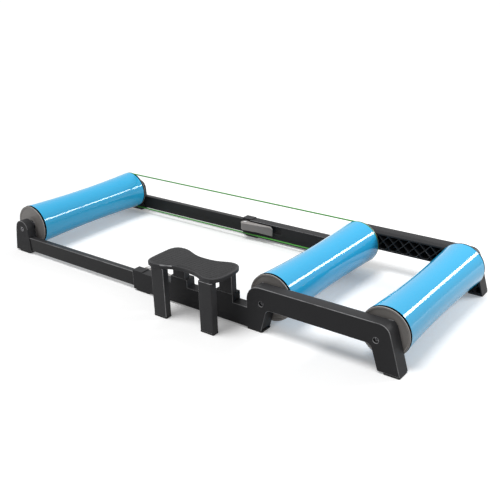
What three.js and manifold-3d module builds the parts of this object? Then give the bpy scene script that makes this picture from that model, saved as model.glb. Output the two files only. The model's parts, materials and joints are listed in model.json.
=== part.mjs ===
// Bike rollers: one roller in a telescoping front frame, two in a pair of rear mouldings, a round
// drive belt, two clamp levers and a step. Millimetres, +Z up, +X towards the two rear rollers.
// Shapes are drawn from the middle axle, on the floor, midway between the two sides. The last
// lines move the origin to the middle of the floor plan.

import * as THREE from 'three';
import { mergeVertices } from 'three/addons/utils/BufferGeometryUtils.js';
import Module from 'manifold-3d';

const wasm = await Module();
wasm.setup();

// Whole object
const frameWidth = 500;
const rearSpacing = 292;
const frontReach = 879;
const gap = 0.3;
const overrun = 3;

// Rollers
const rollerSides = 24;
const tubeRows = 8;
const rollerEndRadius = 59.3;
const rollerWaistDepth = 5.3;
const rollerFloorGap = 15.2;
const rollerFrameGap = 1.3;
const tubeWall = 4;

// End caps
const capFlangeWidth = 2;
const capFlangeInset = 0.7;
const capSpigotDepth = 18;
const capSpigotWall = 4;
const capRimWidth = 4;
const capDish = 1.2;
const capWebThickness = 1.5;
const grooveDepth = 4.7;

// Drive belt
const beltRadius = 2.1;
const beltSides = 8;
const beltArcSteps = 16;
const beltRunSteps = 4;
const beltClearance = 0.9;
const beltSideGap = 0.5;

// Bearings, axles and bolts
const shaftSides = 12;
const axleRadius = 6;
const bearingRadius = 14;
const bearingWidth = 8;
const bearingShoulder = 3;
const spacerWall = 2.7;
const boltShankRadius = 3.7;
const boltShankLength = 22;
const boltHeadRim = 2.1;
const boltHeadHeight = 6;
const boltSocketWall = 2.8;
const boltSocketDepth = 3.2;
const boltClearance = 0.4;
const boltHeadClearance = 0.7;

// Rear mouldings
const mouldingThickness = 38.5;
const mouldingWall = 4;
const beamAboveAxle = 40;
const beamBelowAxle = 12;
const topChamferWidth = 10.5;
const topChamferDrop = 4.5;
const middleLegFront = 41;
const middleLegBack = 1;
const middleLegSplay = 15;
const middleShoulderRadius = 36;
const rearLegReach = 58;
const rearLegFootWidth = 52;
const rearLegOuterSplay = 31.2;
const rearLegInnerSplay = 18;
const rearShoulderRadius = 26;
const archRadius = 13;
const cornerSteps = 5;
const smallCornerSteps = 2;
const boltHeadCover = 6;
const axleWeb = 4.2;
const bossWall = 8.5;
const ribPitch = 30;
const ribThickness = 2.4;
const footHeight = 4;
const footSetback = 2;
const rearFootLength = 38;

// Arms: the part of each rear moulding that the rail slides in
const armWall = 7.5;
const armLift = 0.5;
const armRoof = 5.2;
const mouthWall = 4.5;
const mouthRise = 2.2;
const mouthLead = 8;
const mouthOverlap = 3;
const railOffset = 4.5;
const railClearance = 0.5;
const cavityEnd = 50;
const gripLength = 34;
const gripAheadShare = 0.25;
const gripHeight = 22;
const gripDepth = 5;
const gripLip = 3.4;
const mouthFootLength = 46;
const mouthFootSetback = 8;

// Front rails and brackets
const railHeight = 41;
const railThickness = 17;
const railWall = 2.2;
const railLift = 5;
const railTail = 306;
const bracketOuterWall = 1.8;
const bracketInnerWall = 8.2;
const bracketFootFront = 39;
const bracketFootBack = 32;
const bracketTopRadius = 24;
const bracketKneeDrop = 28.5;
const bracketKneeReach = 32;
const bracketNose = 6;
const bracketHeadCover = 2;
const bracketPadFront = 24;
const bracketPadBack = 22;

// Clamp levers
const leverPivotX = 395;
const leverLength = 99;
const leverHeadRadius = 13;
const leverHeadHeight = 22.5;
const leverWallClearance = 1.1;
const leverEccentricity = 0.6;
const leverBeltClearance = 11;
const leverTipDrop = 6;
const leverTipCut = 7;
const leverTipGap = 3.4;
const leverTipThickness = 5.2;
const leverBow = 2.5;
const leverSlotHeight = 8;
const lugRadius = 9;
const pinRadius = 3;
const pinHeadRim = 1.8;
const pinHeadHeight = 1.4;
const shoeLength = 11;
const shoeInset = 2;

// Step
const stepCentreX = 177;
const stepOverlap = 38.5;
const stepAboveSeat = 64;
const stepHalfLength = 114;
const stepHalfWidth = 57.5;
const stepPlate = 5;
const stepSkirtHeight = 10;
const stepSkirt = 4;
const stepBevel = 1.4;
const treadInset = 5;
const treadDepth = 1.4;
const treadThickness = 1.9;
const stepLegInset = 40;
const stepLegWidth = 40;
const stepLegDepth = 20;
const stepLegWall = 3;
const stepLegEdge = 2.5;
const stepLegRound = 3;
const seatAboveArm = 21;
const seatLength = 54;
const frontSeatLead = 1;
const rearSeatLead = 6;
const spigotLength = 24;
const spigotWidth = 10;
const spigotDepth = 12;

// Sizes worked out from the ones above
const axleHeight = rollerEndRadius + rollerFloorGap;
const outerFace = frameWidth / 2;
const innerFace = outerFace - mouldingThickness;
const rollerWaistRadius = rollerEndRadius - rollerWaistDepth;
const tubeBore = rollerWaistRadius - tubeWall;
const grooveEnd = gap + 2 * beltRadius + beltSideGap;
const capThickness = grooveEnd + capFlangeWidth;
const tubeHalfLength = innerFace - rollerFrameGap - capThickness;
const capFace = tubeHalfLength + capThickness - capDish;
const capFlangeRadius = rollerEndRadius - capFlangeInset;
const grooveRadius = rollerEndRadius - grooveDepth;
const beltLoopRadius = grooveRadius + beltClearance + beltRadius;
const beltY = tubeHalfLength + gap + beltRadius;
const bearingSeat = bearingRadius + gap;
const axleBore = axleRadius + gap;
const spacerRadius = axleBore + spacerWall;
const boltBore = boltShankRadius + boltClearance;
const boltHeadRadius = boltShankRadius + boltHeadRim;
const boltSocketRadius = boltHeadRadius - boltSocketWall;
const axleHoleRadius = boltHeadRadius + boltHeadClearance;
const bossRadius = axleHoleRadius + bossWall;
const beamTop = axleHeight + beamAboveAxle;
const beamUnder = axleHeight - beamBelowAxle;
const rearLegFoot = rearSpacing + rearLegReach;
const legBottom = footHeight + gap;
const railOuterFace = outerFace - railOffset;
const railInnerFace = railOuterFace - railThickness;
const mouthInnerFace = railInnerFace - railClearance - mouthWall;
const armInnerFace = railInnerFace - railClearance - armWall;
const armBottom = legBottom + armLift;
const railBottom = armBottom + railLift;
const railTop = railBottom + railHeight;
const armTop = railTop + armRoof;
const mouthTop = armTop + mouthRise;
const mouthFront = leverPivotX + leverHeadRadius + mouthLead;
const armFront = leverPivotX - leverHeadRadius + mouthOverlap;
const bracketOuterFace = railOuterFace + bracketOuterWall;
const bracketInnerFace = railInnerFace - bracketInnerWall;
const railNoseReach = bracketKneeReach - bracketNose;
const beltUnder = axleHeight - beltLoopRadius;
const leverPivotY = mouthInnerFace - leverWallClearance - leverEccentricity - leverHeadRadius;
const leverReach = leverPivotY + leverHeadRadius + leverEccentricity;
const leverBottom = beltUnder + beltRadius + leverBeltClearance;
const leverTop = leverBottom + leverHeadHeight;
const leverTipX = leverPivotX - leverLength;
const lugBottom = (leverBottom + leverTop - leverSlotHeight) / 2 + gap;
const lugTop = lugBottom + leverSlotHeight - 2 * gap;
const pinHeadRadius = pinRadius + pinHeadRim;
const seatTop = armTop + seatAboveArm;
const stepTop = seatTop + stepAboveSeat;
const stepCentreY = outerFace + stepHalfWidth - stepOverlap;
const stepFrontLegY = stepCentreY + stepHalfWidth - stepLegEdge;
const stepLegSpacing = 2 * (stepHalfLength - stepLegInset);
const sides = { near: -1, far: 1 };

// Materials
function finish(color, roughness, metalness) {
  return new THREE.MeshStandardMaterial({ color, roughness, metalness });
}

const bluePlastic = finish(0x4fb6ec, 0.2, 0);
const greyPlastic = finish(0x7d7a74, 0.55, 0);
const blackPlastic = finish(0x2b2b2c, 0.6, 0);
const blackMetal = finish(0x303031, 0.5, 0.3);
const leverPlastic = finish(0x8d8a89, 0.5, 0);
const steel = finish(0xb9bbbd, 0.3, 1);
const greenBelt = finish(0x5fae4d, 0.4, 0);
const blackRubber = finish(0x1c1c1c, 0.85, 0);

// A geometry as one closed mesh: shared vertices merged, empty triangles dropped, faces out
function closed(geometry) {
  const bare = geometry.clone();
  bare.deleteAttribute('normal');
  bare.deleteAttribute('uv');
  const merged = mergeVertices(bare);
  const index = merged.getIndex().array;
  const place = merged.getAttribute('position');
  const corner = (i) => new THREE.Vector3().fromBufferAttribute(place, i);
  const kept = [];
  let volume = 0;
  for (let i = 0; i < index.length; i += 3) {
    const [a, b, c] = index.slice(i, i + 3);
    if (a !== b && b !== c && c !== a) {
      kept.push(a, b, c);
      volume += corner(a).cross(corner(b)).dot(corner(c));
    }
  }
  merged.setIndex(volume < 0 ? kept.reverse() : kept);
  return merged;
}

function solid(geometry) {
  const mesh = closed(geometry);
  return new wasm.Manifold(new wasm.Mesh({
    numProp: 3,
    vertProperties: new Float32Array(mesh.getAttribute('position').array),
    triVerts: new Uint32Array(mesh.getIndex().array),
  }));
}

function geometryOf(body) {
  const mesh = body.getMesh();
  const geometry = new THREE.BufferGeometry();
  geometry.setAttribute('position', new THREE.BufferAttribute(mesh.vertProperties, 3));
  geometry.setIndex(new THREE.BufferAttribute(mesh.triVerts, 1));
  return geometry;
}

// An outline of [across, up, radius] corners, each round corner an arc of straight steps
function rounded(corners, steps = cornerSteps) {
  const points = [];
  corners.forEach(([across, up, radius = 0], i) => {
    const corner = new THREE.Vector2(across, up);
    const before = corners.at(i - 1);
    const after = corners[(i + 1) % corners.length];
    const toBefore = new THREE.Vector2(before[0], before[1]).sub(corner);
    const toAfter = new THREE.Vector2(after[0], after[1]).sub(corner);
    const room = Math.min(toBefore.length(), toAfter.length()) / 2;
    const half = Math.acos(toBefore.normalize().dot(toAfter.normalize())) / 2;
    const reach = Math.min(radius / Math.tan(half), room);
    if (reach > 0) {
      const start = corner.clone().addScaledVector(toBefore, reach);
      const end = corner.clone().addScaledVector(toAfter, reach);
      const bisector = toBefore.clone().add(toAfter).normalize();
      const centre = corner.clone().addScaledVector(bisector, reach / Math.cos(half));
      const from = start.clone().sub(centre).angle();
      const turn = end.clone().sub(centre).angle() - from;
      const sweep = turn - 2 * Math.PI * Math.round(turn / (2 * Math.PI));
      for (let k = 0; k <= steps; k += 1) {
        points.push(start.clone().rotateAround(centre, (sweep * k) / steps));
      }
    } else {
      points.push(corner);
    }
  });
  return points;
}

function outlineOf(points) {
  return points.map(([across, up]) => new THREE.Vector2(across, up));
}

// How an outline's own axes and its thickness lie in the object, for each direction of thickness
const bases = {
  x: [new THREE.Vector3(0, 1, 0), new THREE.Vector3(0, 0, 1), new THREE.Vector3(1, 0, 0)],
  y: [new THREE.Vector3(1, 0, 0), new THREE.Vector3(0, 0, 1), new THREE.Vector3(0, -1, 0)],
  z: [new THREE.Vector3(1, 0, 0), new THREE.Vector3(0, 1, 0), new THREE.Vector3(0, 0, 1)],
};

// An outline given a thickness along one axis, between two places on it, in either order
function prism(outline, axis, placeA, placeB, bevel = 0) {
  const low = Math.min(placeA, placeB);
  const high = Math.max(placeA, placeB);
  const geometry = new THREE.ExtrudeGeometry(new THREE.Shape(outline), {
    depth: high - low - 2 * bevel,
    bevelEnabled: bevel > 0,
    bevelThickness: bevel,
    bevelSize: bevel,
    bevelOffset: -bevel,
    bevelSegments: 1,
  });
  geometry.applyMatrix4(new THREE.Matrix4().makeBasis(...bases[axis]));
  geometry.computeBoundingBox();
  const shift = new THREE.Vector3();
  shift[axis] = low - geometry.boundingBox.min[axis];
  geometry.translate(shift.x, shift.y, shift.z);
  return solid(geometry);
}

// A box between two places on each axis, in either order
function block([x0, x1], [y0, y1], [z0, z1]) {
  const geometry = new THREE.BoxGeometry(Math.abs(x1 - x0), Math.abs(y1 - y0), Math.abs(z1 - z0));
  geometry.translate((x0 + x1) / 2, (y0 + y1) / 2, (z0 + z1) / 2);
  return solid(geometry);
}

// A profile of [radius, place] points turned about the Y axis
function turned(profile, segments) {
  return closed(new THREE.LatheGeometry(outlineOf(profile), segments));
}

// A round bar across the object, between two places on Y
function crossBar(radius, x, z, placeA, placeB, segments = shaftSides) {
  const geometry = new THREE.CylinderGeometry(radius, radius, Math.abs(placeB - placeA), segments);
  geometry.translate(x, (placeA + placeB) / 2, z);
  return solid(geometry);
}

function uprightBar(radius, x, y, low, high, segments = shaftSides) {
  const geometry = new THREE.CylinderGeometry(radius, radius, high - low, segments);
  geometry.rotateX(Math.PI / 2);
  geometry.translate(x, y, (low + high) / 2);
  return solid(geometry);
}

function joined(first, ...others) {
  return others.reduce((sum, piece) => sum.add(piece), first);
}

function cut(body, ...tools) {
  return tools.reduce((rest, tool) => rest.subtract(tool), body);
}

function named(name, geometry, material) {
  const mesh = new THREE.Mesh(geometry, material);
  mesh.name = name;
  return mesh;
}

// Roller tube: a waisted sleeve, thinnest in the middle
function rollerTube() {
  const profile = [];
  for (let row = 0; row <= tubeRows; row += 1) {
    const share = (2 * row) / tubeRows - 1;
    const radius = rollerWaistRadius + (rollerEndRadius - rollerWaistRadius) * share ** 2;
    profile.push([radius, tubeHalfLength * share]);
  }
  profile.push([tubeBore, tubeHalfLength], [tubeBore, -tubeHalfLength], profile[0]);
  return turned(profile, rollerSides);
}

// End cap of the +Y end: a spigot in the tube, the belt groove, a flange and the bearing's seat
function endCap() {
  const spigot = tubeBore - gap;
  const spigotBack = tubeHalfLength - capSpigotDepth;
  const rim = tubeHalfLength + capThickness;
  const shoulder = capFace - bearingWidth - gap;
  const profile = [
    [spigot - capSpigotWall, spigotBack],
    [spigot, spigotBack],
    [spigot, tubeHalfLength + gap],
    [grooveRadius, tubeHalfLength + gap],
    [grooveRadius, tubeHalfLength + grooveEnd],
    [capFlangeRadius, tubeHalfLength + grooveEnd],
    [capFlangeRadius, rim],
    [capFlangeRadius - capRimWidth, rim],
    [capFlangeRadius - capRimWidth, capFace],
    [bearingSeat, capFace],
    [bearingSeat, shoulder],
    [bearingRadius - bearingShoulder, shoulder],
    [bearingRadius - bearingShoulder, shoulder - capWebThickness],
    [spigot - capSpigotWall, shoulder - capWebThickness],
    [spigot - capSpigotWall, spigotBack],
  ];
  return turned(profile, rollerSides);
}

function ring(inner, outer, from, to) {
  return turned([[inner, from], [outer, from], [outer, to], [inner, to], [inner, from]], shaftSides);
}

function bearing() {
  return ring(axleBore, bearingRadius, capFace - bearingWidth, capFace);
}

// Spacer on the axle, from the bearing to the frame's inner face
function spacer(frameFace) {
  return ring(axleBore, spacerRadius, capFace + gap, frameFace - gap);
}

// Axle with a blind bore in each end for its bolt
function axle(halfLength) {
  const boreEnd = halfLength - boltShankLength - gap;
  const profile = [
    [0, -boreEnd],
    [boltBore, -boreEnd],
    [boltBore, -halfLength],
    [axleRadius, -halfLength],
    [axleRadius, halfLength],
    [boltBore, halfLength],
    [boltBore, boreEnd],
    [0, boreEnd],
  ];
  return turned(profile, shaftSides);
}

// Cap screw of the +Y side, its head seated at the bottom of the hole in the outer face
function axleBolt(seat) {
  const head = seat + gap;
  const shankEnd = seat - axleWeb - gap - boltShankLength;
  const profile = [
    [0, shankEnd],
    [boltShankRadius, shankEnd],
    [boltShankRadius, head],
    [boltHeadRadius, head],
    [boltHeadRadius, head + boltHeadHeight],
    [boltSocketRadius, head + boltHeadHeight],
    [boltSocketRadius, head + boltHeadHeight - boltSocketDepth],
    [0, head + boltHeadHeight - boltSocketDepth],
  ];
  return turned(profile, shaftSides);
}

// The holes for an axle's end and its bolt, through a frame piece
function axleHoles(x, side, outer, inner, depth) {
  const seat = outer - depth;
  return joined(
    crossBar(axleHoleRadius, x, axleHeight, side * seat, side * (outer + overrun)),
    crossBar(boltBore, x, axleHeight, side * (inner - overrun), side * (seat + overrun)),
    crossBar(axleBore, x, axleHeight, side * (inner - overrun), side * (seat - axleWeb)),
  );
}

// Side outline of a rear moulding: middle leg, beam and rear leg
function beamOutline(inset = 0) {
  const innerFoot = rearLegFoot - rearLegFootWidth;
  return rounded([
    [-middleLegFront + inset, legBottom + inset],
    [-middleLegBack - inset, legBottom + inset],
    [middleLegSplay - inset, beamUnder + inset, archRadius + inset],
    [innerFoot - rearLegInnerSplay + inset, beamUnder + inset, archRadius + inset],
    [innerFoot + inset, legBottom + inset],
    [rearLegFoot - inset, legBottom + inset],
    [rearLegFoot - rearLegOuterSplay - inset, beamTop - inset, rearShoulderRadius - inset],
    [-middleLegFront + inset, beamTop - inset, middleShoulderRadius - inset],
  ]);
}

// Diagonal ribs that cross in the open inner side of a rear moulding
function diagonalRibs(side) {
  const first = -middleLegFront - beamTop;
  const last = rearLegFoot + beamTop;
  const ribs = [];
  for (let x = first; x <= last; x += ribPitch) {
    for (const lean of [-1, 1]) {
      const rib = new THREE.BoxGeometry(ribThickness, mouldingThickness, beamTop + beamTop);
      rib.rotateY((lean * Math.PI) / 4);
      rib.translate(x, side * (innerFace + mouldingThickness / 2), axleHeight);
      ribs.push(solid(rib));
    }
  }
  return joined(...ribs);
}

// The open cells of a rear moulding's inner side, between its ribs and round its axle bosses
function beamCells(side) {
  const front = side * (innerFace - overrun);
  const hollow = prism(beamOutline(mouldingWall), 'y', front, side * (outerFace - mouldingWall));
  const underChamfer = block(
    [-middleLegFront, rearLegFoot],
    [front, side * outerFace],
    [beamTop - mouldingWall - topChamferDrop, beamTop],
  );
  const bosses = [0, rearSpacing].map((x) => crossBar(bossRadius, x, axleHeight, front, side * outerFace));
  return cut(hollow, underChamfer, diagonalRibs(side), ...bosses);
}

// Wedge that lowers the inner half of a top face, along X
function topChamfer(side, from, to, top) {
  const edge = innerFace + topChamferWidth;
  const outline = outlineOf([
    [side * (innerFace - overrun), top - topChamferDrop * (1 + overrun / topChamferWidth)],
    [side * (edge + overrun), top + topChamferDrop * (overrun / topChamferWidth)],
    [side * (innerFace - overrun), top + overrun],
  ]);
  return prism(outline, 'x', from, to);
}

// The rail's cavity, open at the mouth
function railCavity(side) {
  return block(
    [-mouthFront - overrun, -cavityEnd],
    [side * (railInnerFace - railClearance), side * (railOuterFace + railClearance)],
    [railBottom - railClearance, railTop + railClearance],
  );
}

// Lug on the mouth's inner face, in the slot of the lever's head: a tongue round the pin
function leverLug(side) {
  return joined(
    uprightBar(lugRadius, -leverPivotX, side * leverPivotY, lugBottom, lugTop),
    block(
      [-leverPivotX - lugRadius, -leverPivotX + lugRadius],
      [side * leverPivotY, side * (mouthInnerFace + mouthWall / 2)],
      [lugBottom, lugTop],
    ),
  );
}

// Raised seats on the near arm, one under each short leg of the step
function stepSeats(side) {
  const seats = [[-1, frontSeatLead], [1, rearSeatLead]].map(([end, lead]) => {
    const centre = -stepCentreX + (end * stepLegSpacing) / 2 - lead;
    return block(
      [centre - seatLength / 2, centre + seatLength / 2],
      [side * armInnerFace, side * outerFace],
      [armTop - overrun, seatTop],
    );
  });
  return joined(...seats);
}

// Sockets in the seats for the short legs' spigots
function stepSockets(side) {
  const sockets = [-1, 1].map((end) => {
    const x = -stepCentreX + (end * stepLegSpacing) / 2;
    const y = side * (outerFace - stepLegDepth / 2);
    return block(
      [x - spigotLength / 2 - gap, x + spigotLength / 2 + gap],
      [y - spigotWidth / 2 - gap, y + spigotWidth / 2 + gap],
      [seatTop - spigotDepth - 2 * gap, seatTop + overrun],
    );
  });
  return joined(...sockets);
}

// Rear moulding: beam with two splayed legs, and the arm that the rail slides in
function rearMoulding(side, seats, sockets) {
  const beam = cut(
    prism(beamOutline(), 'y', side * innerFace, side * outerFace),
    beamCells(side),
    topChamfer(side, -middleLegFront - overrun, rearLegFoot, beamTop),
  );
  const arm = block(
    [-armFront, -middleLegFront + overrun],
    [side * armInnerFace, side * outerFace],
    [armBottom, armTop],
  );
  const mouth = block(
    [-mouthFront, -armFront + overrun],
    [side * mouthInnerFace, side * outerFace],
    [armBottom, mouthTop],
  );
  const pivot = uprightBar(
    pinRadius + gap,
    -leverPivotX,
    side * leverPivotY,
    lugBottom - overrun,
    lugTop + overrun,
  );
  const shoeWindow = block(
    [-leverPivotX - shoeLength / 2 - gap, -leverPivotX + shoeLength / 2 + gap],
    [side * leverReach, side * railInnerFace],
    [leverBottom + shoeInset - gap, leverTop - shoeInset + gap],
  );
  const grip = block(
    [-leverTipX - gripLength * gripAheadShare, -leverTipX + gripLength * (1 - gripAheadShare)],
    [side * (armInnerFace - overrun), side * (armInnerFace + gripDepth)],
    [armTop - gripLip - gripHeight, armTop - gripLip],
  );
  return cut(
    joined(beam, arm, mouth, leverLug(side), ...seats),
    railCavity(side),
    pivot,
    shoeWindow,
    grip,
    axleHoles(0, side, outerFace, innerFace, boltHeadHeight + boltHeadCover),
    axleHoles(rearSpacing, side, outerFace, innerFace, boltHeadHeight + boltHeadCover),
    ...sockets,
  );
}

// Front rail: a flat rectangular tube from the bracket into the arm
function frontRail(side) {
  const ends = [-frontReach - railNoseReach, -railTail];
  const bar = block(ends, [side * railInnerFace, side * railOuterFace], [railBottom, railTop]);
  const bore = block(
    [ends[0] - overrun, ends[1] + overrun],
    [side * (railInnerFace + railWall), side * (railOuterFace - railWall)],
    [railBottom + railWall, railTop - railWall],
  );
  return cut(bar, bore);
}

// Front bracket: an upright that holds the front axle, with a pocket for the rail's end
function frontBracket(side) {
  const outline = rounded([
    [-frontReach - bracketFootFront, legBottom],
    [-frontReach + bracketFootBack, legBottom],
    [-frontReach + bracketTopRadius, axleHeight + bracketTopRadius, bracketTopRadius],
    [-frontReach - bracketTopRadius + footSetback, axleHeight + bracketTopRadius, bracketTopRadius],
    [-frontReach - bracketKneeReach, axleHeight - bracketKneeDrop, bracketTopRadius],
  ]);
  const pocket = block(
    [-frontReach - railNoseReach - gap, -frontReach + bracketFootBack + overrun],
    [side * (railInnerFace - gap), side * (railOuterFace + gap)],
    [railBottom - gap, railTop + gap],
  );
  return cut(
    prism(outline, 'y', side * bracketInnerFace, side * bracketOuterFace),
    pocket,
    axleHoles(-frontReach, side, bracketOuterFace, bracketInnerFace, boltHeadHeight + bracketHeadCover),
  );
}

// Rubber foot: a pad with rounded corners, on the floor under a leg
function foot([x0, x1], [y0, y1], height = footHeight) {
  const outline = rounded([
    [x0, Math.min(y0, y1), footSetback],
    [x1, Math.min(y0, y1), footSetback],
    [x1, Math.max(y0, y1), footSetback],
    [x0, Math.max(y0, y1), footSetback],
  ], smallCornerSteps);
  return geometryOf(prism(outline, 'z', 0, height));
}

// Drive belt: one closed round loop over the grooves of the front and the middle roller
function driveBelt() {
  const path = [];
  const halfTurn = (x, from) => {
    for (let k = 0; k <= beltArcSteps; k += 1) {
      const angle = from + (Math.PI * k) / beltArcSteps;
      const out = new THREE.Vector2(Math.cos(angle), Math.sin(angle));
      path.push({ out, x: x + beltLoopRadius * out.x, z: axleHeight + beltLoopRadius * out.y });
    }
  };
  const run = (fromX, toX, up) => {
    for (let k = 1; k < beltRunSteps; k += 1) {
      const x = fromX + ((toX - fromX) * k) / beltRunSteps;
      path.push({ out: new THREE.Vector2(0, up), x, z: axleHeight + up * beltLoopRadius });
    }
  };
  halfTurn(0, -Math.PI / 2);
  run(0, -frontReach, 1);
  halfTurn(-frontReach, Math.PI / 2);
  run(-frontReach, 0, -1);
  const places = [];
  const faces = [];
  path.forEach(({ out, x, z }, ringIndex) => {
    const nextRing = (ringIndex + 1) % path.length;
    for (let k = 0; k < beltSides; k += 1) {
      const angle = (2 * Math.PI * k) / beltSides;
      const away = beltRadius * Math.cos(angle);
      places.push(x + away * out.x, beltY + beltRadius * Math.sin(angle), z + away * out.y);
      const a = ringIndex * beltSides + k;
      const b = ringIndex * beltSides + ((k + 1) % beltSides);
      const c = nextRing * beltSides + k;
      const d = nextRing * beltSides + ((k + 1) % beltSides);
      faces.push(a, b, c, b, d, c);
    }
  });
  const geometry = new THREE.BufferGeometry();
  geometry.setAttribute('position', new THREE.Float32BufferAttribute(places, 3));
  geometry.setIndex(faces);
  return closed(geometry);
}

// Clamp lever: an eccentric head on its pin, slotted for the lug, and a handle that narrows to its tip
function clampLever(side) {
  const tipBack = armInnerFace - leverTipGap;
  const tipFront = tipBack - leverTipThickness;
  const headFront = leverPivotY - leverHeadRadius;
  const middleX = (leverPivotX + leverTipX) / 2;
  const middleY = (headFront + tipFront) / 2 - leverBow;
  const front = new THREE.SplineCurve([
    new THREE.Vector2(-leverPivotX, side * headFront),
    new THREE.Vector2(-middleX, side * middleY),
    new THREE.Vector2(-leverTipX, side * tipFront),
  ]).getPoints(cornerSteps);
  const back = outlineOf([[-leverTipX, side * tipBack], [-leverPivotX, side * tipBack]]);
  const low = leverBottom - leverTipDrop - overrun;
  const high = leverTop + overrun;
  const elevation = outlineOf([
    [-leverPivotX, leverBottom],
    [-middleX, leverBottom],
    [-leverTipX, leverBottom - leverTipDrop],
    [-leverTipX, leverTop - leverTipCut],
    [-leverTipX - leverTipCut, leverTop],
    [-leverPivotX, leverTop],
  ]);
  const profile = prism(elevation, 'y', 0, side * outerFace);
  const handle = prism([...front, ...back], 'z', low, high).intersect(profile);
  const head = uprightBar(
    leverHeadRadius,
    -leverPivotX,
    side * (leverPivotY + leverEccentricity),
    leverBottom,
    leverTop,
    rollerSides,
  );
  const slotReach = lugRadius + gap;
  const slot = joined(
    uprightBar(slotReach, -leverPivotX, side * leverPivotY, lugBottom - gap, lugTop + gap),
    block(
      [-leverPivotX - leverHeadRadius - overrun, -leverPivotX + slotReach],
      [side * (leverPivotY - slotReach), side * (leverReach + overrun)],
      [lugBottom - gap, lugTop + gap],
    ),
  );
  const eye = uprightBar(pinRadius + gap, -leverPivotX, side * leverPivotY, low, high);
  return cut(joined(head, handle), slot, eye);
}

// Pin of a clamp lever: a shaft with a flat head at each end
function leverPin(side) {
  const bar = (radius, low, high) => uprightBar(radius, -leverPivotX, side * leverPivotY, low, high);
  const top = leverTop + gap + pinHeadHeight;
  const under = leverBottom - gap - pinHeadHeight;
  return joined(
    bar(pinRadius, under, top),
    bar(pinHeadRadius, top - pinHeadHeight, top),
    bar(pinHeadRadius, under, under + pinHeadHeight),
  );
}

// Clamp shoe: the block that the lever's head presses against the rail
function clampShoe(side) {
  return block(
    [-leverPivotX - shoeLength / 2, -leverPivotX + shoeLength / 2],
    [side * (leverReach + gap), side * (railInnerFace - gap)],
    [leverBottom + shoeInset, leverTop - shoeInset],
  );
}

// One side of the step's top from above, rear end to front end, as shares of its half sizes
const stepSideShares = [
  [0.943, 0],
  [0.939, 0.261],
  [0.925, 0.47],
  [0.899, 0.635],
  [0.864, 0.757],
  [0.811, 0.861],
  [0.746, 0.922],
  [0.658, 0.948],
  [0.561, 0.913],
  [0.439, 0.817],
  [0.307, 0.722],
  [0.158, 0.67],
  [0, 0.657],
  [-0.158, 0.675],
  [-0.298, 0.739],
  [-0.439, 0.852],
  [-0.579, 0.962],
  [-0.702, 1],
  [-0.807, 0.991],
  [-0.886, 0.939],
  [-0.943, 0.843],
  [-0.978, 0.713],
  [-0.996, 0.522],
  [-1, 0.261],
  [-1, 0],
];
const stepOutlineSteps = 64;

function stepOutline(inset) {
  const mirrored = stepSideShares.slice(1, -1).reverse().map(([x, y]) => [x, -y]);
  const shares = [...stepSideShares, ...mirrored];
  const places = shares.map(([x, y]) => new THREE.Vector3(
    -stepCentreX + x * (stepHalfLength - inset),
    -stepCentreY + y * (stepHalfWidth - inset),
    0,
  ));
  const curve = new THREE.CatmullRomCurve3(places, true);
  return curve.getSpacedPoints(stepOutlineSteps).slice(1).map((p) => new THREE.Vector2(p.x, p.y));
}

// One leg of the step, with its outer face at a distance from the middle plane
function stepLeg(end, outerY, bottom, inset = 0, top = stepTop - stepPlate) {
  const x = -stepCentreX + (end * stepLegSpacing) / 2;
  const half = stepLegWidth / 2 - inset;
  const outer = -outerY + inset;
  const inner = -outerY + stepLegDepth - inset;
  const round = inset > 0 ? 0 : stepLegRound;
  return prism(rounded([
    [x - half, outer, round],
    [x + half, outer, round],
    [x + half, inner, round],
    [x - half, inner, round],
  ], smallCornerSteps), 'z', bottom, top);
}

// Step body: a skirted top on two long legs to the floor and two short ones on the near arm
function stepBody() {
  const skirtBottom = stepTop - stepSkirtHeight;
  const top = prism(stepOutline(0), 'z', skirtBottom, stepTop, stepBevel);
  const underside = prism(stepOutline(stepSkirt), 'z', skirtBottom - overrun, stepTop - stepPlate);
  const recess = prism(stepOutline(treadInset), 'z', stepTop - treadDepth, stepTop + overrun);
  const below = prism(stepOutline(0), 'z', legBottom - overrun, stepTop);
  const legs = [-1, 1].flatMap((end) => [
    stepLeg(end, stepFrontLegY, legBottom).intersect(below),
    stepLeg(end, stepFrontLegY, legBottom, 0, skirtBottom),
    stepLeg(end, outerFace, seatTop + gap),
  ]);
  const bores = [-1, 1].map((end) => (
    stepLeg(end, stepFrontLegY, legBottom - overrun, stepLegWall, skirtBottom - stepLegWall)
  ));
  const spigots = [-1, 1].map((end) => {
    const x = -stepCentreX + (end * stepLegSpacing) / 2;
    const y = -outerFace + stepLegDepth / 2;
    return block(
      [x - spigotLength / 2, x + spigotLength / 2],
      [y - spigotWidth / 2, y + spigotWidth / 2],
      [seatTop - spigotDepth, seatTop + overrun],
    );
  });
  return cut(joined(cut(top, underside, recess), ...legs, ...spigots), ...bores);
}

function stepTread() {
  const bottom = stepTop - treadDepth + gap;
  return prism(stepOutline(treadInset + gap), 'z', bottom, bottom + treadThickness);
}

// One roller about its own axle: tube, end caps and bearings
function roller(place) {
  const group = new THREE.Group();
  group.add(named(`${place}_roller_tube`, rollerTube(), bluePlastic));
  for (const [sideName, side] of Object.entries(sides)) {
    const cap = named(`${place}_end_cap_${sideName}`, endCap(), greyPlastic);
    const race = named(`${place}_bearing_${sideName}`, bearing(), steel);
    for (const mesh of [cap, race]) {
      mesh.rotation.z = side < 0 ? Math.PI : 0;
      group.add(mesh);
    }
  }
  return group;
}

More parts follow.
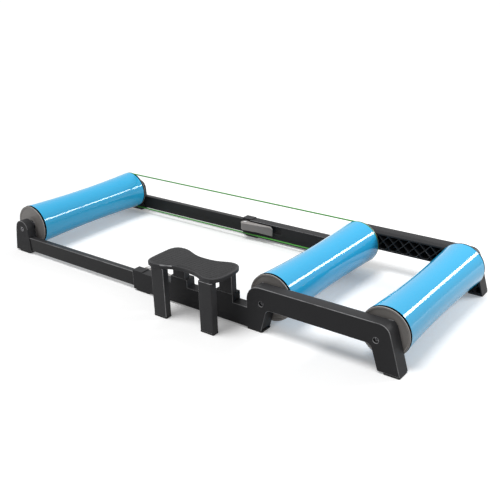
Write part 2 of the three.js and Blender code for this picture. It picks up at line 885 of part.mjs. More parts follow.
// What holds a roller up: axle, bolts and spacers, for a frame with these faces and hole depth
function axleSet(place, outer, inner, depth) {
  const group = new THREE.Group();
  const seat = outer - depth;
  group.add(named(`${place}_axle`, axle(seat - axleWeb - gap), steel));
  for (const [sideName, side] of Object.entries(sides)) {
    const bolt = named(`${place}_axle_bolt_${sideName}`, axleBolt(seat), steel);
    const collar = named(`${place}_spacer_${sideName}`, spacer(inner), steel);
    for (const mesh of [bolt, collar]) {
      mesh.rotation.z = side < 0 ? Math.PI : 0;
      group.add(mesh);
    }
  }
  return group;
}

function rollerStations() {
  const group = new THREE.Group();
  const stations = [
    ['front', -frontReach, bracketOuterFace, bracketInnerFace, boltHeadHeight + bracketHeadCover],
    ['middle', 0, outerFace, innerFace, boltHeadHeight + boltHeadCover],
    ['rear', rearSpacing, outerFace, innerFace, boltHeadHeight + boltHeadCover],
  ];
  for (const [place, x, outer, inner, depth] of stations) {
    const station = new THREE.Group();
    station.position.set(x, 0, axleHeight);
    station.add(roller(place), axleSet(place, outer, inner, depth));
    group.add(station);
  }
  return group;
}

// Everything of one side: moulding, rail, bracket, lever and feet
function sideFrame(sideName, side) {
  const group = new THREE.Group();
  const onNear = side < 0;
  const seats = onNear ? [stepSeats(side)] : [];
  const sockets = onNear ? [stepSockets(side)] : [];
  const across = [side * (innerFace + footSetback), side * outerFace];
  const middleFootSpan = [-middleLegFront, -middleLegBack + footSetback];
  const bracketAcross = [side * (bracketInnerFace + footSetback), side * bracketOuterFace];
  const mouthAcross = [side * (mouthInnerFace + footSetback), side * (outerFace - footSetback)];
  const mouthFootFront = -mouthFront + mouthFootSetback;
  group.add(
    named(`rear_moulding_${sideName}`, geometryOf(rearMoulding(side, seats, sockets)), blackPlastic),
    named(`front_rail_${sideName}`, geometryOf(frontRail(side)), blackMetal),
    named(`front_bracket_${sideName}`, geometryOf(frontBracket(side)), blackPlastic),
    named(`clamp_lever_${sideName}`, geometryOf(clampLever(side)), leverPlastic),
    named(`lever_pin_${sideName}`, geometryOf(leverPin(side)), steel),
    named(`clamp_shoe_${sideName}`, geometryOf(clampShoe(side)), blackPlastic),
    named(
      `rear_foot_${sideName}`,
      foot([rearLegFoot - rearFootLength, rearLegFoot], across),
      blackRubber,
    ),
    named(`middle_foot_${sideName}`, foot(middleFootSpan, across), blackRubber),
    named(
      `mouth_foot_${sideName}`,
      foot([mouthFootFront, mouthFootFront + mouthFootLength], mouthAcross, armBottom - gap),
      blackRubber,
    ),
    named(
      `front_foot_${sideName}`,
      foot([-frontReach - bracketPadFront, -frontReach + bracketPadBack], bracketAcross),
      blackRubber,
    ),
  );
  return group;
}

function step() {
  const group = new THREE.Group();
  group.add(
    named('step_body', geometryOf(stepBody()), blackPlastic),
    named('step_tread', geometryOf(stepTread()), blackRubber),
  );
  for (const [place, end] of [['front', -1], ['rear', 1]]) {
    const x = -stepCentreX + (end * stepLegSpacing) / 2;
    const pad = foot(
      [x - stepLegWidth / 2, x + stepLegWidth / 2],
      [-stepFrontLegY, -stepFrontLegY + stepLegDepth],
    );
    group.add(named(`step_foot_${place}`, pad, blackRubber));
  }
  return group;
}

const bikeRollers = new THREE.Group();
for (const [sideName, side] of Object.entries(sides)) {
  bikeRollers.add(sideFrame(sideName, side));
}
bikeRollers.add(rollerStations(), named('drive_belt', driveBelt(), greenBelt), step());
const lowX = -frontReach - rollerEndRadius;
const highX = rearSpacing + rollerEndRadius;
const lowY = -stepCentreY - stepHalfWidth;
bikeRollers.position.set(-(lowX + highX) / 2, -(lowY + outerFace) / 2, 0);

export default bikeRollers;
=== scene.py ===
import json
import math

import bmesh
import bpy
from mathutils import Matrix, Vector


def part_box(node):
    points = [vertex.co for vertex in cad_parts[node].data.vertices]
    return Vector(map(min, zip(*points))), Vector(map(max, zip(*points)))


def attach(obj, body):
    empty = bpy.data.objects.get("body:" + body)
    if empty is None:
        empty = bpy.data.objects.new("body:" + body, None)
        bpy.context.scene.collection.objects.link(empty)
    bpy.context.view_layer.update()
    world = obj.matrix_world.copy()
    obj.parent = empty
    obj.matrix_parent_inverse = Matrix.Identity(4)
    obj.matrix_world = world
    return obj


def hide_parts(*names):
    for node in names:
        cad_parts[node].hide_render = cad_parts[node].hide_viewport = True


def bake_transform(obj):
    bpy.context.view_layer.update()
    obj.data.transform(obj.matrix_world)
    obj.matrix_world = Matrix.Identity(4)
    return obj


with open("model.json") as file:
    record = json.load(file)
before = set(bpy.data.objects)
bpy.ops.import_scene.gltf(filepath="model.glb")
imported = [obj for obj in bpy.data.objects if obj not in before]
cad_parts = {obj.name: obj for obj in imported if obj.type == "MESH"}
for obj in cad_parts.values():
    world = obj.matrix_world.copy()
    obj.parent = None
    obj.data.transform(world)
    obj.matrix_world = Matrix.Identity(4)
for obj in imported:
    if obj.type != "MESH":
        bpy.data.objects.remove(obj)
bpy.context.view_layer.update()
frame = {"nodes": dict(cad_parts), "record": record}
nodes = frame["nodes"]
scene = bpy.context.scene
ROLLERS = ("front", "middle", "rear")
SIDES = ("near", "far")

# Camera: where it stands, where it looks, and how far it leans, in the frame's metres
CAMERA_PLACE = Vector((1.175611, -1.394189, 0.820351))
CAMERA_AIM = Vector((-0.562850, 0.732593, -0.382764)).normalized()
CAMERA_LEAN = math.radians(-1.582)
CAMERA_LENS = 52.08
SENSOR_WIDTH = 36
FARTHEST_SEEN = 60


def set_camera():
    data = bpy.data.cameras.new("camera")
    data.sensor_width = SENSOR_WIDTH
    data.lens = CAMERA_LENS
    data.clip_end = FARTHEST_SEEN
    camera = bpy.data.objects.new("camera", data)
    scene.collection.objects.link(camera)
    level = CAMERA_AIM.cross(Vector((0, 0, 1))).normalized()
    upright = level.cross(CAMERA_AIM).normalized()
    across = level * math.cos(CAMERA_LEAN) + upright * math.sin(CAMERA_LEAN)
    above = upright * math.cos(CAMERA_LEAN) - level * math.sin(CAMERA_LEAN)
    turn = Matrix((across, above, -CAMERA_AIM)).transposed().to_4x4()
    camera.matrix_world = Matrix.Translation(CAMERA_PLACE) @ turn
    scene.camera = camera


set_camera()


# Finishes

GLOSS_SCALE = 45            # how fine the patches of uneven gloss are
WEAR_AND_HIGHLIGHT_SCALE = 35             # how fine the patches along a rubbed or painted-lighter edge are
WEAR_AND_HIGHLIGHT_PATCH = (.35, .6)      # the noise values between which a patch fades in
FAINTEST_WEAR_AND_HIGHLIGHT = .45         # how much an edge is rubbed or painted lighter outside the patches
GRAIN_DEPTH = .0004


def linear(code):
    """A colour's hex code in the linear values that a shader takes."""
    parts = [int(code[i:i + 2], 16) / 255 for i in (1, 3, 5)]
    return (*[p / 12.92 if p <= .04045 else ((p + .055) / 1.055) ** 2.4 for p in parts], 1)


def new_group(name, given, made):
    """An empty shader group with named sockets, and the nodes that stand for its two ends."""
    tree = bpy.data.node_groups.new(name, "ShaderNodeTree")
    for label, kind, value in given:
        socket = tree.interface.new_socket(name=label, in_out="INPUT", socket_type=kind)
        socket.default_value = value
    for label, kind in made:
        tree.interface.new_socket(name=label, in_out="OUTPUT", socket_type=kind)
    return tree, tree.nodes.new("NodeGroupInput").outputs, tree.nodes.new("NodeGroupOutput").inputs


def noise(tree, place, scale, detail, roughness=.5):
    """Noise over a place; the scale is a number or another node's socket."""
    node = tree.nodes.new("ShaderNodeTexNoise")
    node.inputs["Detail"].default_value = detail
    node.inputs["Roughness"].default_value = roughness
    tree.links.new(place, node.inputs["Vector"])
    if isinstance(scale, bpy.types.NodeSocket):
        tree.links.new(scale, node.inputs["Scale"])
    else:
        node.inputs["Scale"].default_value = scale
    return node.outputs["Fac"]


def colour_mix(tree, share, first, second):
    """The first colour where the share is 0, the second where it is 1."""
    node = tree.nodes.new("ShaderNodeMix")
    node.data_type = "RGBA"
    tree.links.new(share, node.inputs["Factor"])
    for source, socket in ((first, "A"), (second, "B")):
        tree.links.new(source, node.inputs[socket])
    return node.outputs["Result"]


def times(tree, first, second):
    node = tree.nodes.new("ShaderNodeMath")
    node.operation = "MULTIPLY"
    tree.links.new(first, node.inputs[0])
    tree.links.new(second, node.inputs[1])
    return node.outputs["Value"]


def ranged(tree, value, low, high, from_low=0.0, from_high=1.0):
    """A value spread between two others, which are numbers or sockets."""
    node = tree.nodes.new("ShaderNodeMapRange")
    tree.links.new(value, node.inputs["Value"])
    limits = {"From Min": from_low, "From Max": from_high, "To Min": low, "To Max": high}
    for label, limit in limits.items():
        if isinstance(limit, bpy.types.NodeSocket):
            tree.links.new(limit, node.inputs[label])
        else:
            node.inputs[label].default_value = limit
    return node.outputs["Result"]


def make_surface_group():
    """Mottled colour, uneven gloss and fine grain, drawn out along a direction where asked."""
    tree, given, made = new_group("surface", [
        ("Dark", "NodeSocketColor", (0, 0, 0, 1)),
        ("Light", "NodeSocketColor", (1, 1, 1, 1)),
        ("Smoothest", "NodeSocketFloat", .3),
        ("Roughest", "NodeSocketFloat", .5),
        ("Mottle", "NodeSocketFloat", 14),
        ("Grain", "NodeSocketFloat", 1000),
        ("Drawn", "NodeSocketVector", (1, 1, 1)),
    ], [
        ("Colour", "NodeSocketColor"),
        ("Roughness", "NodeSocketFloat"),
        ("Height", "NodeSocketFloat"),
    ])
    place = tree.nodes.new("ShaderNodeTexCoord").outputs["Object"]
    drawn = tree.nodes.new("ShaderNodeVectorMath")
    drawn.operation = "MULTIPLY"
    tree.links.new(place, drawn.inputs[0])
    tree.links.new(given["Drawn"], drawn.inputs[1])
    along = drawn.outputs["Vector"]
    mottle = noise(tree, along, given["Mottle"], detail=4)
    tree.links.new(colour_mix(tree, mottle, given["Dark"], given["Light"]), made["Colour"])
    gloss = noise(tree, along, GLOSS_SCALE, detail=5, roughness=.6)
    gloss = ranged(tree, gloss, given["Smoothest"], given["Roughest"])
    tree.links.new(gloss, made["Roughness"])
    tree.links.new(noise(tree, along, given["Grain"], detail=3), made["Height"])
    return tree


def make_wear_and_edge_highlight_group():
    """Rubbed edges with painted edge highlight: the marked faces take a lighter colour, in patches.
    """
    tree, given, made = new_group("edge wear and painted highlight", [
        ("Colour", "NodeSocketColor", (0, 0, 0, 1)),
        ("Rubbed or Lit", "NodeSocketColor", (1, 1, 1, 1)),
        ("Amount", "NodeSocketFloat", .5),
    ], [("Colour", "NodeSocketColor")])
    edge = tree.nodes.new("ShaderNodeAttribute")
    edge.attribute_name = "worn_or_lit"
    place = tree.nodes.new("ShaderNodeTexCoord").outputs["Object"]
    patches = noise(tree, place, WEAR_AND_HIGHLIGHT_SCALE, detail=3)
    patches = ranged(tree, patches, FAINTEST_WEAR_AND_HIGHLIGHT, 1.0, *WEAR_AND_HIGHLIGHT_PATCH)
    share = times(tree, times(tree, edge.outputs["Fac"], given["Amount"]), patches)
    tree.links.new(colour_mix(tree, share, given["Colour"], given["Rubbed or Lit"]), made["Colour"])
    return tree


SURFACE = make_surface_group()
WEAR_AND_EDGE_HIGHLIGHT = make_wear_and_edge_highlight_group()


def finish(name, dark, light, gloss, grain, depth, rubbed_or_lit, amount, mottle=14,
           drawn=(1, 1, 1), **shader_values):
    """A material of the two groups, with what stays the same all over set on its shader."""
    material = bpy.data.materials.new(name)
    material.use_nodes = True
    tree = material.node_tree
    shader = tree.nodes["Principled BSDF"]
    for label, value in shader_values.items():
        shader.inputs[label.replace("_", " ")].default_value = value
    surface = tree.nodes.new("ShaderNodeGroup")
    surface.node_tree = SURFACE
    values = {"Dark": linear(dark), "Light": linear(light), "Smoothest": gloss[0],
              "Roughest": gloss[1], "Mottle": mottle, "Grain": grain, "Drawn": drawn}
    for label, value in values.items():
        surface.inputs[label].default_value = value
    # The rounded edges are painted lighter: partly rubbed wear, partly painted highlight and glint.
    wear_and_highlight = tree.nodes.new("ShaderNodeGroup")
    wear_and_highlight.node_tree = WEAR_AND_EDGE_HIGHLIGHT
    wear_and_highlight.inputs["Rubbed or Lit"].default_value = linear(rubbed_or_lit)
    wear_and_highlight.inputs["Amount"].default_value = amount
    tree.links.new(surface.outputs["Colour"], wear_and_highlight.inputs["Colour"])
    tree.links.new(wear_and_highlight.outputs["Colour"], shader.inputs["Base Color"])
    tree.links.new(surface.outputs["Roughness"], shader.inputs["Roughness"])
    relief = tree.nodes.new("ShaderNodeBump")
    relief.inputs["Strength"].default_value = depth
    relief.inputs["Distance"].default_value = GRAIN_DEPTH
    tree.links.new(surface.outputs["Height"], relief.inputs["Height"])
    tree.links.new(relief.outputs["Normal"], shader.inputs["Normal"])
    return material


# Each finish's third colour is for its rounded edges: rubbed wear together with a painted edge
# highlight.
BLUE_TUBE = finish("blue_tube", "#31b4e9", "#39bcef", (.08, .085), 900, .001, "#8cd4f6", .4,
                   mottle=4, Specular_IOR_Level=.36)
FRAME_PLASTIC = finish("frame_plastic", "#323234", "#373738", (.42, .54), 1500, .22,
                       "#a2a2a4", .9, Specular_IOR_Level=.1)
STEP_PLASTIC = finish("step_plastic", "#3d3d3f", "#434344", (.42, .54), 1500, .22,
                      "#b6b6b8", .9, Specular_IOR_Level=.12)
CAP_PLASTIC = finish("cap_plastic", "#8f8b88", "#97938f", (.34, .46), 1300, .12, "#d0ccc8", .9)
# Near-black that paints the shade in the belt grooves and on the tubes' end faces.
GROOVE_PAINTED_SHADE = finish("groove_painted_shade", "#0c0c0c", "#101010", (.5, .62), 1300, .12, "#141414", .5,
                      Specular_IOR_Level=.1)
LEVER_PLASTIC = finish("lever_plastic", "#8d8986", "#969290", (.36, .48), 1300, .12, "#c9c5c2", .6)
RAIL_PAINT = finish("rail_paint", "#29292a", "#2c2c2d", (.4, .44), 1900, .1, "#98989a", .9,
                    drawn=(.3, 1, 1), Specular_IOR_Level=.15)
TURNED_STEEL = finish("turned_steel", "#77777a", "#97979a", (.18, .3), 700, .08, "#efeff1", .6,
                      drawn=(1, 6, 1), Metallic=1.0)
BRIGHT_PIN = finish("bright_pin", "#c9c9cb", "#dededf", (.3, .4), 700, .05, "#f4f4f5", .6)
BELT_GREEN = finish("belt_green", "#3c9a2b", "#4cab38", (.3, .42), 1100, .1, "#6fc759", .3)
FOOT_RUBBER = finish("foot_rubber", "#121212", "#191919", (.66, .8), 1000, .4, "#303030", .5)
TREAD_RUBBER = finish("tread_rubber", "#383839", "#3f3f40", (.55, .7), 1000, .35, "#565658", .6,
                      Specular_IOR_Level=.12)


# Bench work: the moves that every piece is made with

SAME_PLACE = 1e-6           # points this close are one point
CAD_SAME_PLACE = 1e-5       # the same for the coarser places of CAD copies and the long belt
ROOM_TO_ROUND = 2.2         # a rounding takes this many of its widths of the faces around it
TOWARDS_ROLLERS = -.3       # a face looks towards the rollers below this share of outward
OFF_CENTRE = .01            # a piece farther than this from the middle has an outer side


def only(piece):
    """Selects one piece alone and makes it the active one."""
    bpy.ops.object.select_all(action="DESELECT")
    piece.select_set(True)
    bpy.context.view_layer.objects.active = piece


def opened(piece, chosen="DESELECT"):
    """Opens a piece in edit mode, with nothing or everything selected."""
    only(piece)
    bpy.ops.object.mode_set(mode="EDIT")
    bpy.ops.mesh.select_mode(type="VERT")
    bpy.ops.mesh.select_all(action=chosen)
    return bmesh.from_edit_mesh(piece.data)


def shut():
    bpy.ops.object.mode_set(mode="OBJECT")


def applied(piece, kind, **values):
    """A modifier set on a piece and applied at once."""
    only(piece)
    modifier = piece.modifiers.new(kind.lower(), kind)
    for label, value in values.items():
        setattr(modifier, label, value)
    bpy.ops.object.modifier_apply(modifier=modifier.name)


def roomy(edge, width):
    """Whether the faces beside an edge, and the edges that leave it, have room for its rounding."""
    start, end = (vert.co for vert in edge.verts)
    along = (end - start).normalized()
    for face in edge.link_faces:
        depth = max((vert.co - start).cross(along).length for vert in face.verts)
        if depth < ROOM_TO_ROUND * width:
            return False
    leaving = {other for vert in edge.verts for other in vert.link_edges}
    return all(other.calc_length() > ROOM_TO_ROUND * width for other in leaving)


def eased(piece, width, segments=2, angle=28):
    """Rounds a piece's sharp edges, first those that look towards the rollers.

    The new faces of the others get the attribute that the group of edge wear and painted edge
    highlight reads.
    """
    while len(piece.data.materials) < 2:
        piece.data.materials.append(None)
    shape = opened(piece)
    heart = sum(vert.co.y for vert in shape.verts) / len(shape.verts)
    outward = 0 if abs(heart) < OFF_CENTRE else math.copysign(1, heart)
    bpy.ops.mesh.select_mode(type="EDGE")
    for inner in (True, False):
        shape = bmesh.from_edit_mesh(piece.data)
        for edge in shape.edges:
            turn = edge.calc_face_angle(0)
            facing = min((face.normal.y * outward for face in edge.link_faces), default=0)
            edge.select = (edge.is_convex and turn > math.radians(angle)
                           and (facing < TOWARDS_ROLLERS) == inner and roomy(edge, width))
        bmesh.update_edit_mesh(piece.data)
        if any(edge.select for edge in shape.edges):
            bpy.ops.mesh.bevel(offset=width, segments=segments, profile=.5,
                               affect="EDGES", clamp_overlap=False, material=1)
    shape = bmesh.from_edit_mesh(piece.data)
    # Only rounded faces that do not look towards the rollers get the wear and painted edge
    # highlight.
    worn_or_lit = shape.faces.layers.float.new("worn_or_lit")
    for face in shape.faces:
        outside = face.normal.y * outward > TOWARDS_ROLLERS
        face[worn_or_lit] = float(face.material_index == 1 and outside)
        face.material_index = 0
    bmesh.update_edit_mesh(piece.data)
    shut()


def smoothed(piece, angle=32):
    """Round faces shade as one, and flat faces stay flat."""
    only(piece)
    bpy.ops.object.shade_smooth_by_angle(angle=math.radians(angle))
    applied(piece, "WEIGHTED_NORMAL", keep_sharp=True)


def handed_over(piece, name, material, body, *stands_for):
    """Names a finished piece, and says what it rides on and which nodes it stands for."""
    piece.name = name
    piece.data.name = name
    if material.name not in piece.data.materials:
        piece.data.materials.clear()
        piece.data.materials.append(material)
    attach(piece, body)
    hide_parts(*stands_for)


def turned(section, segments=96, upright=False):
    """Draws half a section point by point, as (radius, height), and spins it round its axis."""
    def move(radius, height):
        return (radius, 0, height) if upright else (radius, height, 0)

    bpy.ops.object.select_all(action="DESELECT")
    bpy.ops.mesh.primitive_plane_add(size=.001, location=(0, 0, 0))
    piece = bpy.context.object
    bpy.ops.object.mode_set(mode="EDIT")
    bpy.ops.mesh.select_mode(type="VERT")
    bpy.ops.mesh.merge(type="CENTER")
    bpy.ops.transform.translate(value=move(*section[0]))
    for (radius, height), (next_radius, next_height) in zip(section, section[1:]):
        step = move(next_radius - radius, next_height - height)
        bpy.ops.mesh.extrude_region_move(TRANSFORM_OT_translate={"value": step})
    bpy.ops.mesh.select_all(action="SELECT")
    bpy.ops.mesh.remove_doubles(threshold=SAME_PLACE)
    bpy.ops.mesh.spin(steps=segments, angle=2 * math.pi, center=(0, 0, 0),
                      axis=(0, 0, 1) if upright else (0, 1, 0))
    bpy.ops.mesh.select_all(action="SELECT")
    bpy.ops.mesh.remove_doubles(threshold=SAME_PLACE)
    bpy.ops.mesh.normals_make_consistent(inside=False)
    shut()
    return piece


def copied(piece, place, near=False):
    """A copy with its own mesh at its place; the near side's is turned end for end."""
    data = piece.data.copy()
    data.transform(Matrix.Translation(place) @ Matrix.Rotation(math.pi if near else 0, 4, "Z"))
    copy = bpy.data.objects.new("copy", data)
    scene.collection.objects.link(copy)
    return copy


def body_of(name):
    """The body that a CAD node moves with."""
    bodies = frame["record"]["behaviour"]["bodies"]
    return next(body for body, held in bodies.items() if name in held)


def middle_of(name):
    low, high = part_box(name)
    return (low + high) / 2


def reworked(name):
    """A copy of a CAD node, its triangles merged back into whole faces."""
    piece = bpy.data.objects.new("copy", nodes[name].data.copy())
    scene.collection.objects.link(piece)
    opened(piece, "SELECT")
    bpy.ops.mesh.remove_doubles(threshold=CAD_SAME_PLACE)
    bpy.ops.mesh.dissolve_limited(angle_limit=math.radians(1))
    shut()
    return piece


def moulded(name, material, width, angle=28):
    """A CAD node's own shape with its outer edges rounded."""
    piece = reworked(name)
    eased(piece, width, angle=angle)
    smoothed(piece)
    handed_over(piece, f"{name}_dressed", material, body_of(name), name)


# Rollers, each part made once and copied to its three rollers or six ends

TUBE_LOW, TUBE_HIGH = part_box("middle_roller_tube")
END_RADIUS = (TUBE_HIGH.x - TUBE_LOW.x) / 2
HALF_LENGTH = (TUBE_HIGH.y - TUBE_LOW.y) / 2
WAIST_DEPTH = .0053
TUBE_WALL = .004
TUBE_BORE = END_RADIUS - WAIST_DEPTH - TUBE_WALL
AXLE_BORE = .0063
AXLE_PLACE = middle_of("middle_roller_tube")
END_FIT = .0003             # play between a tube and its cap
HAIR = .0002                # how far past an edge its black painted shade still reaches


def reach_of(name):
    """How far a far side's turned node reaches: its radius, and its places along the axle."""
    low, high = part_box(name)
    return (high.x - low.x) / 2, low.y - AXLE_PLACE.y, high.y - AXLE_PLACE.y


def blue_tube():
    """Waisted tube with a plain bore."""
    rows = 48
    places = [2 * row / rows - 1 for row in range(rows + 1)]
    section = [(END_RADIUS - WAIST_DEPTH * (1 - place ** 2), HALF_LENGTH * place)
               for place in places]
    section += [(TUBE_BORE, HALF_LENGTH), (TUBE_BORE, -HALF_LENGTH), section[0]]
    piece = turned(section, segments=256)
    eased(piece, .0007)
    # The tube's end faces are painted black as the shade between tube and cap.
    with_painted_shade(piece, BLUE_TUBE, lambda place: abs(place.y) > HALF_LENGTH - HAIR)
    return piece


def with_painted_shade(piece, material, chosen):
    """A piece in its own finish, with black painted shade where its faces are chosen by their
    places.
    """
    piece.data.materials.clear()
    for finish_of_part in (material, GROOVE_PAINTED_SHADE):
        piece.data.materials.append(finish_of_part)
    for face in piece.data.polygons:
        face.material_index = int(chosen(face.center))


def end_cap():
    """Spigot, belt groove, flange with a raised rim, dished face and the bearing's boss."""
    flange, back, rim = reach_of("middle_end_cap_far")
    wall = .004
    spigot = TUBE_BORE - END_FIT
    inside = spigot - wall
    shoulder = HALF_LENGTH + END_FIT
    groove = END_RADIUS - .0047
    groove_end = HALF_LENGTH + .005
    face = rim - .0012
    seat = .0143
    boss = .0195
    slope = .0006
    web = face - .0083
    web_back = web - .0015
    web_hole = .011
    piece = turned([
        (inside, back), (spigot, back), (spigot, shoulder), (groove, shoulder),
        (groove, groove_end), (flange, groove_end), (flange, rim), (flange - wall, rim),
        (flange - wall - slope, face), (boss, face), (boss - slope, face + slope),
        (seat + slope, face + slope), (seat, face), (seat, web), (web_hole, web),
        (web_hole, web_back), (inside, web_back), (inside, back),
    ], segments=128)
    eased(piece, .0006, segments=3)
    # The belt groove is painted black as its shade.
    painted_shade_span = (shoulder - .001, groove_end + HAIR)
    with_painted_shade(piece, CAP_PLASTIC, lambda place: painted_shade_span[0] < place.y < painted_shade_span[1])
    return piece


def bearing():
    """Outer and inner races with a sunk shield between them."""
    radius, back, face = reach_of("middle_bearing_far")
    sunk = face - .0004
    race = .0024
    shield = .0027
    piece = turned([
        (AXLE_BORE, back), (radius, back), (radius, face), (radius - race, face),
        (radius - shield, sunk), (AXLE_BORE + shield, sunk), (AXLE_BORE + race, face),
        (AXLE_BORE, face), (AXLE_BORE, back),
    ])
    eased(piece, .0002)
    return piece


def spacer(place):
    """Plain sleeve on the axle."""
    radius, start, end = reach_of(f"{place}_spacer_far")
    piece = turned([
        (AXLE_BORE, start), (radius, start), (radius, end), (AXLE_BORE, end), (AXLE_BORE, start),
    ])
    eased(piece, .0003)
    return piece


def axle_bolt(place):
    """Cap screw: a turned shank and head, and a six-sided socket cut into the head."""
    radius, tip, face = reach_of(f"{place}_axle_bolt_far")
    shank = .0037
    lead = .0006
    seat = face - .006
    mouth = .0034
    sunk = .0004
    piece = turned([
        (0, tip), (shank - lead, tip), (shank, tip + lead), (shank, seat), (radius, seat),
        (radius, face), (mouth, face), (mouth - sunk, face - sunk), (0, face - sunk),
    ], segments=48)
    eased(piece, .0005)
    bpy.ops.object.select_all(action="DESELECT")
    bpy.ops.mesh.primitive_cylinder_add(vertices=6, radius=.0029, depth=.0064,
                                        location=(0, face, 0), rotation=(math.pi / 2, 0, 0))
    key = bpy.context.object
    applied(piece, "BOOLEAN", operation="DIFFERENCE", solver="EXACT", object=key)
    bpy.data.objects.remove(key)
    return piece


def make_rollers():
    """Three rollers, each with its tube, and at both ends a cap, bearing, spacer and bolt."""
    tube = blue_tube()
    cap = end_cap()
    race = bearing()
    for piece in (tube, cap, race):
        smoothed(piece)
    for place in ROLLERS:
        body = f"{place}_roller"
        centre = middle_of(f"{place}_roller_tube")
        handed_over(copied(tube, centre), f"{place}_tube_dressed", BLUE_TUBE, body,
                    f"{place}_roller_tube")
        collar = spacer(place)
        bolt = axle_bolt(place)
        for piece in (collar, bolt):
            smoothed(piece)
        ends = (("end_cap", cap, CAP_PLASTIC), ("bearing", race, TURNED_STEEL),
                ("spacer", collar, TURNED_STEEL), ("axle_bolt", bolt, TURNED_STEEL))
        for side in SIDES:
            for label, made, material in ends:
                name = f"{place}_{label}_{side}"
                copy = copied(made, centre, near=side == "near")
                handed_over(copy, f"{name}_dressed", material, body_of(name), name)
        for piece in (collar, bolt):
            bpy.data.objects.remove(piece)
    for piece in (tube, cap, race):
        bpy.data.objects.remove(piece)


make_rollers()


# Drive belt: a round section spun about each axle and drawn out between them

BELT_SETTLE = .0007         # how far the belt sinks into its grooves
BELT_RUN_STEPS = 24
BELT_TURN_STEPS = 40


def drive_belt():
    """Closed loop on the far side, round the middle and front rollers."""
    low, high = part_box("drive_belt")
    thickness = high.y - low.y
    rear = middle_of("middle_roller_tube")
    front = middle_of("front_roller_tube")
    line = (low.y + high.y) / 2
    loop = (high.z - low.z) / 2 - thickness / 2 - BELT_SETTLE
    bpy.ops.object.select_all(action="DESELECT")
    bpy.ops.mesh.primitive_circle_add(vertices=20, radius=thickness / 2,
                                      location=(rear.x, line, rear.z + loop),
                                      rotation=(0, math.pi / 2, 0))
    piece = bpy.context.object
    bpy.ops.object.transform_apply(location=True, rotation=True, scale=True)
    bpy.ops.object.mode_set(mode="EDIT")
    bpy.ops.mesh.select_all(action="SELECT")
    for axle, onward in ((rear, -1), (front, 1)):
        bpy.ops.mesh.spin(steps=BELT_TURN_STEPS, angle=-math.pi, center=(axle.x, line, axle.z),
                          axis=(0, 1, 0))
        stride = onward * (rear.x - front.x) / BELT_RUN_STEPS
        for _ in range(BELT_RUN_STEPS):
            bpy.ops.mesh.extrude_region_move(TRANSFORM_OT_translate={"value": (stride, 0, 0)})
    bpy.ops.mesh.select_all(action="SELECT")
    bpy.ops.mesh.remove_doubles(threshold=CAD_SAME_PLACE)
    bpy.ops.mesh.normals_make_consistent(inside=False)
    shut()
    only(piece)
    bpy.ops.object.shade_smooth()
    piece.name = piece.data.name = "belt_dressed"
    piece.data.materials.append(BELT_GREEN)
    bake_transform(piece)
    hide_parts("drive_belt")


drive_belt()


# Frame, levers and feet

def lever_pin(side):
    """A pin whose two heads are domed."""
    name = f"lever_pin_{side}"
    low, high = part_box(name)
    radius = (high.x - low.x) / 2
    half = (high.z - low.z) / 2
    shank = .003
    head = .0014
    dome = .0005
    crown = radius * .7
    piece = turned([
        (0, -half), (crown, -half), (radius, -half + dome), (radius, -half + head),
        (shank, -half + head), (shank, half - head), (radius, half - head),
        (radius, half - dome), (crown, half), (0, half),
    ], segments=48, upright=True)
    smoothed(piece, angle=50)
    handed_over(copied(piece, middle_of(name)), f"{name}_dressed", BRIGHT_PIN, body_of(name), name)
    bpy.data.objects.remove(piece)


# How wide the edges of each kind of piece are rounded
MOULDING_EDGE = .0012
BAR_EDGE = .0014
STEP_EDGE = .0009
SMALL_EDGE = .0006

for side in SIDES:
    moulded(f"rear_moulding_{side}", FRAME_PLASTIC, MOULDING_EDGE)
    moulded(f"front_bracket_{side}", FRAME_PLASTIC, BAR_EDGE)
    moulded(f"front_rail_{side}", RAIL_PAINT, BAR_EDGE)
    moulded(f"clamp_lever_{side}", LEVER_PLASTIC, MOULDING_EDGE, angle=35)
    moulded(f"clamp_shoe_{side}", FRAME_PLASTIC, SMALL_EDGE)
    lever_pin(side)
    for foot in ("rear", "middle", "mouth", "front"):
        moulded(f"{foot}_foot_{side}", FOOT_RUBBER, SMALL_EDGE)


# Step

def step_tread():
    """The mat, lowered a little, with ribs that run along the step and end at its border."""
    low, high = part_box("step_tread")
    centre = (low + high) / 2
    rise = .0006
    border = .0045
    pitch = .0082
    rib_width = .0034
    mat = reworked("step_tread")
    shape = opened(mat)
    for vert in shape.verts:
        vert.select = vert.co.z > high.z - .0001
    bmesh.update_edit_mesh(mat.data)
    bpy.ops.transform.translate(value=(0, 0, -rise))
    shut()
    eased(mat, .0004)
    edge = reworked("step_tread")
    opened(edge, "SELECT")
    shares = [(side - 2 * border) / side for side in (high.x - low.x, high.y - low.y)]
    bpy.ops.transform.resize(value=(*shares, 2), center_override=centre)
    shut()
    bpy.ops.object.select_all(action="DESELECT")
    bpy.ops.mesh.primitive_cube_add(size=1, location=(centre.x, centre.y, high.z - rise))
    ribs = bpy.context.object
    bpy.ops.object.mode_set(mode="EDIT")
    bpy.ops.transform.resize(value=(high.x - low.x, rib_width, 2 * rise),
                             center_override=ribs.location)
    shut()
    only(ribs)
    bpy.ops.object.transform_apply(location=True, rotation=True, scale=True)
    eased(ribs, .0005, segments=3)
    count = 2 * int((high.y - low.y) / 2 / pitch) + 1
    applied(ribs, "ARRAY", count=count, use_relative_offset=False, use_constant_offset=True,
            constant_offset_displace=(0, pitch, 0))
    opened(ribs, "SELECT")
    bpy.ops.transform.translate(value=(0, -pitch * (count - 1) / 2, 0))
    shut()
    applied(ribs, "BOOLEAN", operation="INTERSECT", solver="EXACT", object=edge)
    bpy.data.objects.remove(edge)
    only(mat)
    ribs.select_set(True)
    bpy.ops.object.join()
    smoothed(mat)
    handed_over(mat, "step_tread_dressed", TREAD_RUBBER, "step", "step_tread")


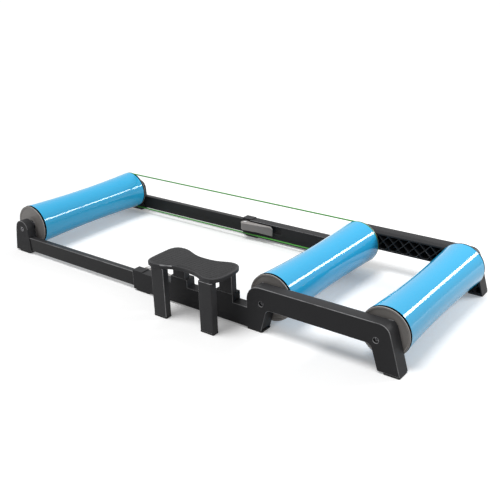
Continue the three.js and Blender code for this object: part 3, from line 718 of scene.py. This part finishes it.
moulded("step_body", STEP_PLASTIC, STEP_EDGE)
moulded("step_foot_front", FOOT_RUBBER, SMALL_EDGE)
moulded("step_foot_rear", FOOT_RUBBER, SMALL_EDGE)
step_tread()

# Only the three axles are seen as the CAD has them, in steel
for node in nodes.values():
    node.data.materials.clear()
    node.data.materials.append(TURNED_STEEL)


# Floor, lamps and world

FLOOR_SIZE = 80
FLOOR_TONE = (.4, .9)       # the floor's colour for light that bounces, and as seen directly
FLOOR_LIFT = .21            # what the floor glows with where it is seen directly
SKY_LIGHT = .3              # the world's strength as light; seen directly it is 1


def seen_directly(tree, otherwise, strength):
    """One value where the camera, a mirror or clear glass looks at it, another elsewhere."""
    path = tree.nodes.new("ShaderNodeLightPath")
    total = path.outputs["Is Camera Ray"]
    for label in ("Is Glossy Ray", "Is Transmission Ray"):
        node = tree.nodes.new("ShaderNodeMath")
        node.operation = "MAXIMUM"
        tree.links.new(total, node.inputs[0])
        tree.links.new(path.outputs[label], node.inputs[1])
        total = node.outputs["Value"]
    return ranged(tree, total, otherwise, strength)


def white_floor():
    """Pale floor that the camera and mirror-like faces see as white, and that keeps the shadows."""
    bpy.ops.object.select_all(action="DESELECT")
    bpy.ops.mesh.primitive_plane_add(size=FLOOR_SIZE, location=(0, 0, 0))
    floor = bpy.context.object
    floor.name = "floor"
    material = bpy.data.materials.new("white_floor")
    material.use_nodes = True
    tree = material.node_tree
    shader = tree.nodes["Principled BSDF"]
    tree.links.new(seen_directly(tree, *FLOOR_TONE), shader.inputs["Base Color"])
    shader.inputs["Roughness"].default_value = .9
    shader.inputs["Specular IOR Level"].default_value = .1
    shader.inputs["Emission Color"].default_value = (1, 1, 1, 1)
    tree.links.new(seen_directly(tree, 0.0, FLOOR_LIFT), shader.inputs["Emission Strength"])
    floor.data.materials.append(material)


def lamp(name, kind, place, aim, energy, **values):
    """A lamp at a place, turned to look at another."""
    data = bpy.data.lights.new(name, kind)
    data.energy = energy
    for label, value in values.items():
        setattr(data, label, value)
    holder = bpy.data.objects.new(name, data)
    scene.collection.objects.link(holder)
    holder.location = place
    holder.rotation_euler = (Vector(aim) - Vector(place)).to_track_quat("-Z", "Y").to_euler()


def white_world():
    """White where it is seen directly, and a weaker light from all around."""
    scene.world = bpy.data.worlds.new("world")
    scene.world.use_nodes = True
    tree = scene.world.node_tree
    sky = tree.nodes["Background"]
    sky.inputs["Color"].default_value = (1, 1, 1, 1)
    tree.links.new(seen_directly(tree, SKY_LIGHT, 1.0), sky.inputs["Strength"])


white_floor()
lamp("overhead", "SUN", (-.4, -.4, 2), (0, 0, 0), 2.0, angle=math.radians(30))
# A long strip along Y behind the object: the rollers mirror it as one white line
lamp("strip", "AREA", (1.45, 1.75, 1.05), (0, 1.75, 0), 32,
     shape="RECTANGLE", size=1.7, size_y=.28)
white_world()
scene.view_settings.view_transform = "Standard"
